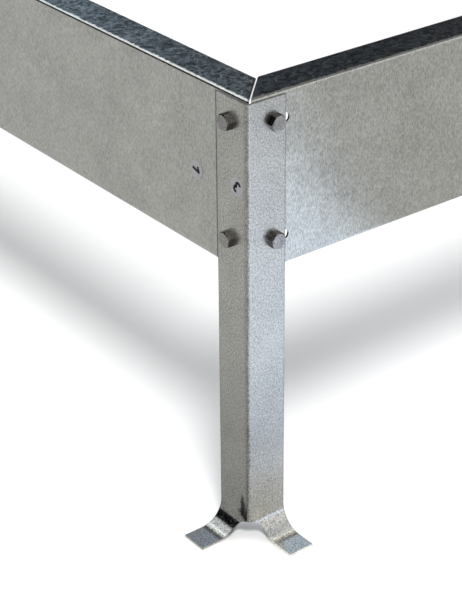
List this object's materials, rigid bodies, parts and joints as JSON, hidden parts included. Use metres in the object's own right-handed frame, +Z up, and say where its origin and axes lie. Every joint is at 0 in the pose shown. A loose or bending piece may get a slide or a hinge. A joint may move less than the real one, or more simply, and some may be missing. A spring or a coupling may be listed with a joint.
{
  "type": "raised planter frame",
  "caption": "Open rectangular planter frame of folded galvanised sheet panels, bolted at the corners to angle legs whose split ends turn out into flat feet.",
  "frame": {"origin": "on the ground, under the middle of the frame", "axes": "+X along the long front and rear panels, +Y from the front panel to the rear panel, +Z up"},
  "size_m": [1.262, 1.062, 0.318],
  "materials": {
    "panel_zinc": "galvanised, satin",
    "leg_zinc": "galvanised, satin",
    "fastener_zinc": "zinc plated, dull",
    "sticker": "matt film"
  },
  "bodies": {
    "root": {"front_panel": "panel_zinc", "right_panel": "panel_zinc", "rear_panel": "panel_zinc", "left_panel": "panel_zinc", "front_left_leg": "leg_zinc", "front_right_leg": "leg_zinc", "rear_right_leg": "leg_zinc", "rear_left_leg": "leg_zinc", "front_left_bolts": "fastener_zinc", "front_right_bolts": "fastener_zinc", "rear_right_bolts": "fastener_zinc", "rear_left_bolts": "fastener_zinc", "front_left_washers": "fastener_zinc", "front_right_washers": "fastener_zinc", "rear_right_washers": "fastener_zinc", "rear_left_washers": "fastener_zinc", "front_left_nuts": "fastener_zinc", "front_right_nuts": "fastener_zinc", "rear_right_nuts": "fastener_zinc", "rear_left_nuts": "fastener_zinc", "front_panel_sticker": "sticker", "right_panel_sticker": "sticker", "rear_panel_sticker": "sticker", "left_panel_sticker": "sticker", "front_left_leg_sticker": "sticker", "front_right_leg_sticker": "sticker", "rear_right_leg_sticker": "sticker", "rear_left_leg_sticker": "sticker"}
  },
  "joints": []
}
